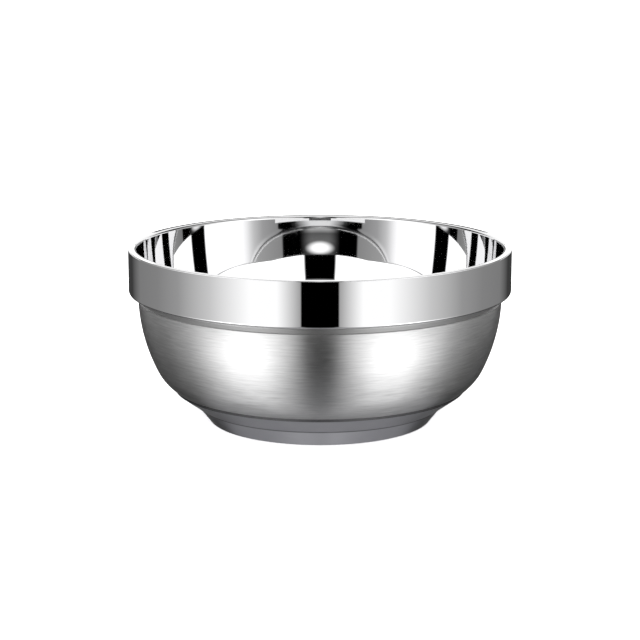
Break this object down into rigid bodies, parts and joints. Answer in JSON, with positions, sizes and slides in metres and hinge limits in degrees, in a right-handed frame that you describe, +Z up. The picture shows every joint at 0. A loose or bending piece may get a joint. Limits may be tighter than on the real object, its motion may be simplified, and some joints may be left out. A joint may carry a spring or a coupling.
{
  "type": "shaving bowl",
  "caption": "Double-wall sheet-metal lather bowl with a mirror inner bowl, a polished band below the rim, a brushed outer shell and a pressed foot.",
  "frame": {"origin": "centre of the circle that the foot stands on", "axes": "+Z up along the bowl's axis of revolution; X and Y are any two directions across it"},
  "size_m": [0.13, 0.13, 0.06],
  "materials": {
    "mirror_steel": "mirror polished",
    "polished_seam": "ground flush and polished",
    "polished_steel": "mirror polished",
    "brushed_steel": "brushed round the axis",
    "weld_steel": "wire-brushed weld",
    "satin_steel": "fine satin",
    "plug_steel": "turned"
  },
  "bodies": {
    "root": {"inner_bowl": "mirror_steel", "rim_seam": "polished_seam", "rim_band": "polished_steel", "outer_shell": "brushed_steel", "foot_seam": "weld_steel", "foot_ring": "satin_steel", "vent_plug": "plug_steel"}
  },
  "joints": []
}
